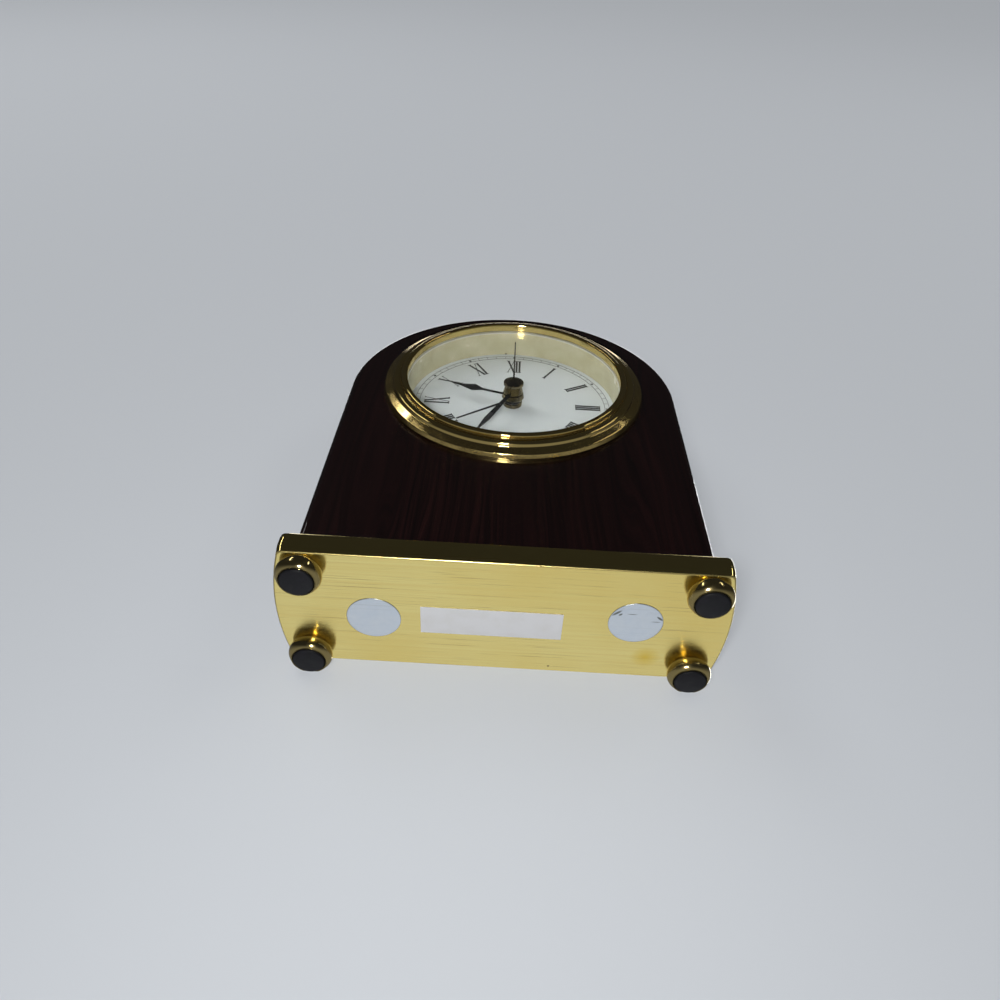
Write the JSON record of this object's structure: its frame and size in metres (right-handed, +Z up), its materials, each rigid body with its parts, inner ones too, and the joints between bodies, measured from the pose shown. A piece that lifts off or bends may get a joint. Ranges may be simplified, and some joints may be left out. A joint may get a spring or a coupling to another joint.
{
  "type": "arch-top desk alarm clock",
  "caption": "Arch-top wooden desk alarm clock with a round brass-bezelled dial, on a brass plate with bun feet; its hands, gear train, knobs and battery door move.",
  "frame": {"origin": "on the surface that the clock stands on, under the middle of the brass plate", "axes": "+Z up, +Y from the dial to the back, +X to the right as the dial is read"},
  "size_m": [0.127, 0.0436, 0.1618],
  "materials": {
    "base_brass": "brushed, lacquered",
    "polished_brass": "polished, lacquered",
    "case_wood": "dark red-brown stain under high-gloss lacquer",
    "black_rubber": "matt",
    "silver_foil": "satin, self-adhesive",
    "label_film": "satin, self-adhesive, blank",
    "steel": "zinc plated",
    "lens_glass": "clear, polished",
    "clear_seal": "soft, translucent",
    "cream_plastic": "satin",
    "dial_white": "matt white paint",
    "dial_ink": "black print",
    "hand_black": "satin black paint",
    "hub_brass": "polished, dark lacquer",
    "black_plastic": "fine moulded texture",
    "gear_plastic": "natural acetal",
    "movement_plastic": "moulded",
    "gear_brass": "turned",
    "copper_wire": "enamelled copper winding",
    "board_green": "solder mask",
    "cell_wrap": "plain shrink sleeve",
    "spring_steel": "nickel plated"
  },
  "bodies": {
    "case": {"base_plate": "base_brass", "case_screws": "steel", "screw_cover_left": "silver_foil", "screw_cover_right": "silver_foil", "blank_label": "label_film", "case_body": "case_wood", "bezel": "polished_brass", "lens": "lens_glass", "lens_seal": "clear_seal", "reflector_ring": "cream_plastic", "dial": "dial_white", "numerals": "dial_ink", "minute_track": "dial_ink", "dial_nut": "hub_brass", "movement_front_plate": "movement_plastic", "movement_rear_plate": "movement_plastic", "plate_screws": "steel", "stator": "steel", "coil_core": "steel", "bobbin": "black_plastic", "coil_winding": "copper_wire", "circuit_board": "board_green", "chip_cover": "black_plastic", "quartz_crystal": "spring_steel", "buzzer": "black_plastic", "insert_housing": "black_plastic", "grip_ring": "black_rubber", "back_cover": "black_plastic", "back_screws": "steel", "battery": "cell_wrap", "contact_plus": "spring_steel", "contact_minus": "spring_steel", "foot_front_left": "polished_brass", "foot_pad_front_left": "black_rubber", "foot_front_right": "polished_brass", "foot_pad_front_right": "black_rubber", "foot_back_left": "polished_brass", "foot_pad_back_left": "black_rubber", "foot_back_right": "polished_brass", "foot_pad_back_right": "black_rubber"},
    "minute_train": {"cannon_pinion": "gear_brass", "minute_hand": "hand_black"},
    "motion_train": {"motion_wheel": "gear_plastic"},
    "hour_train": {"hour_wheel": "gear_plastic", "hour_hand": "hand_black"},
    "time_setting": {"time_setting_arbor": "gear_plastic", "time_knob": "black_plastic"},
    "second_train": {"second_wheel": "gear_plastic", "second_hand": "hand_black"},
    "third_train": {"third_wheel": "gear_plastic"},
    "centre_train": {"centre_wheel": "gear_plastic"},
    "intermediate_train": {"intermediate_wheel": "gear_plastic"},
    "rotor_train": {"rotor": "steel"},
    "alarm_train": {"alarm_wheel": "gear_plastic", "alarm_hand": "hand_black"},
    "alarm_setting": {"alarm_setting_arbor": "gear_plastic", "alarm_knob": "black_plastic"},
    "alarm_switch_slider": {"alarm_switch": "black_plastic"},
    "battery_hatch": {"battery_door": "black_plastic"}
  },
  "joints": [
    {"name": "minute_turn", "type": "hinge", "parent": "case", "child": "minute_train", "pos_m": [0, 0, 0.1062], "axis": [0, 1, 0], "continuous": true},
    {"name": "motion_turn", "type": "hinge", "parent": "case", "child": "motion_train", "pos_m": [-0.01159, 0, 0.10931], "axis": [0, 1, 0], "continuous": true},
    {"name": "hour_turn", "type": "hinge", "parent": "case", "child": "hour_train", "pos_m": [0, 0, 0.1062], "axis": [0, 1, 0], "continuous": true},
    {"name": "time_knob_turn", "type": "hinge", "parent": "case", "child": "time_setting", "pos_m": [-0.01916, 0, 0.09999], "axis": [0, 1, 0], "continuous": true},
    {"name": "second_turn", "type": "hinge", "parent": "case", "child": "second_train", "pos_m": [0, 0, 0.1062], "axis": [0, 1, 0], "continuous": true},
    {"name": "third_turn", "type": "hinge", "parent": "case", "child": "third_train", "pos_m": [-0.00213, 0, 0.11825], "axis": [0, 1, 0], "continuous": true},
    {"name": "centre_turn", "type": "hinge", "parent": "case", "child": "centre_train", "pos_m": [0, 0, 0.1062], "axis": [0, 1, 0], "continuous": true},
    {"name": "intermediate_turn", "type": "hinge", "parent": "case", "child": "intermediate_train", "pos_m": [0.01184, 0, 0.11051], "axis": [0, 1, 0], "continuous": true},
    {"name": "rotor_turn", "type": "hinge", "parent": "case", "child": "rotor_train", "pos_m": [0.01334, 0, 0.11902], "axis": [0, 1, 0], "continuous": true},
    {"name": "alarm_turn", "type": "hinge", "parent": "case", "child": "alarm_train", "pos_m": [0, 0, 0.1062], "axis": [0, 1, 0], "continuous": true},
    {"name": "alarm_knob_turn", "type": "hinge", "parent": "case", "child": "alarm_setting", "pos_m": [0.01366, 0, 0.1], "axis": [0, 1, 0], "continuous": true},
    {"name": "alarm_switch_slide", "type": "slide", "parent": "case", "child": "alarm_switch_slider", "axis": [1, 0, 0], "range_m": [0, 0.004]},
    {"name": "battery_door_lift", "type": "slide", "parent": "case", "child": "battery_hatch", "axis": [0, 1, 0], "range_m": [0, 0.02]}
  ],
  "couplings": [
    {"joint": "motion_turn", "follows": "minute_turn", "ratio": -0.33333},
    {"joint": "hour_turn", "follows": "minute_turn", "ratio": 0.083333},
    {"joint": "time_knob_turn", "follows": "minute_turn", "ratio": 1},
    {"joint": "third_turn", "follows": "second_turn", "ratio": -0.13333},
    {"joint": "centre_turn", "follows": "second_turn", "ratio": 0.016667},
    {"joint": "intermediate_turn", "follows": "second_turn", "ratio": -6},
    {"joint": "rotor_turn", "follows": "second_turn", "ratio": 30},
    {"joint": "alarm_knob_turn", "follows": "alarm_turn", "ratio": -2}
  ]
}
